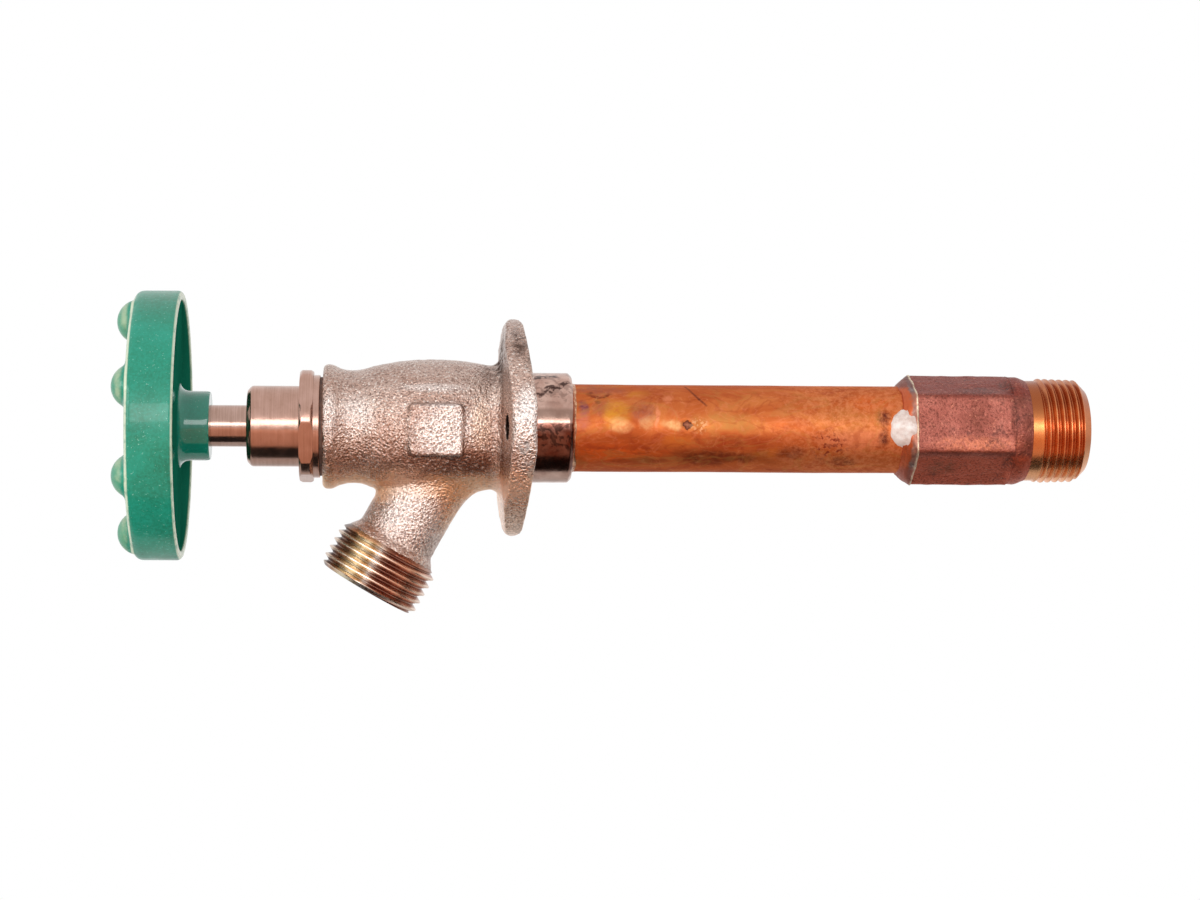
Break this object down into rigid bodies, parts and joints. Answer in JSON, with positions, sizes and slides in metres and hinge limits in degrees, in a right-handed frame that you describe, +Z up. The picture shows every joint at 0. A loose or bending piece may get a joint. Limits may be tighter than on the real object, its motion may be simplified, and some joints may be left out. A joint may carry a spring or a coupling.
{
  "type": "frost free sillcock",
  "caption": "Outdoor wall tap with a handwheel, a wall flange, an angled hose spout and a long copper tube that holds the valve seat inside the warm wall.",
  "frame": {"origin": "on the tube's axis, in the plane where the flange meets the wall, midway between the flange's screw holes", "axes": "+X along the tube into the wall towards the supply, +Z up, with the spout below; the handwheel is at -X"},
  "size_m": [0.2435, 0.068, 0.0807],
  "materials": {
    "green_enamel": "glossy green enamel on a die casting",
    "plated_steel": "zinc plated steel",
    "turned_brass": "turned and polished brass with a rosy tone",
    "cast_brass": "sand cast brass with a fine grain",
    "cast_bronze": "dark reddish cast bronze",
    "copper": "heat tinted copper tube",
    "braze": "silver braze",
    "rubber": "black rubber",
    "packing": "graphite packing"
  },
  "bodies": {
    "hydrant": {"valve_body": "cast_brass", "packing_nut": "turned_brass", "nut_gasket": "rubber", "packing_follower": "turned_brass", "stem_packing": "packing", "packing_retainer": "turned_brass", "casing_tube": "copper", "collar_braze_ring": "braze", "inlet_braze_ring": "braze", "inlet_fitting": "cast_bronze", "valve_seat": "turned_brass"},
    "seat_disc": {"washer_holder": "turned_brass", "swivel_clip": "plated_steel", "seat_washer": "rubber", "washer_screw": "plated_steel"},
    "stem": {"handwheel": "green_enamel", "handle_screw": "plated_steel", "handle_washer": "plated_steel", "front_stem": "turned_brass", "operating_rod": "turned_brass", "plunger": "turned_brass"}
  },
  "joints": [
    {"name": "stem_travel", "type": "slide", "parent": "hydrant", "child": "seat_disc", "axis": [-1, 0, 0], "range_m": [0, 0.00635]},
    {"name": "handle_turn", "type": "hinge", "parent": "seat_disc", "child": "stem", "pos_m": [-0.081, 0, 0], "axis": [-1, 0, 0], "range_deg": [0, 720]}
  ],
  "couplings": [
    {"joint": "handle_turn", "follows": "stem_travel", "rad_per_m": 1979}
  ]
}
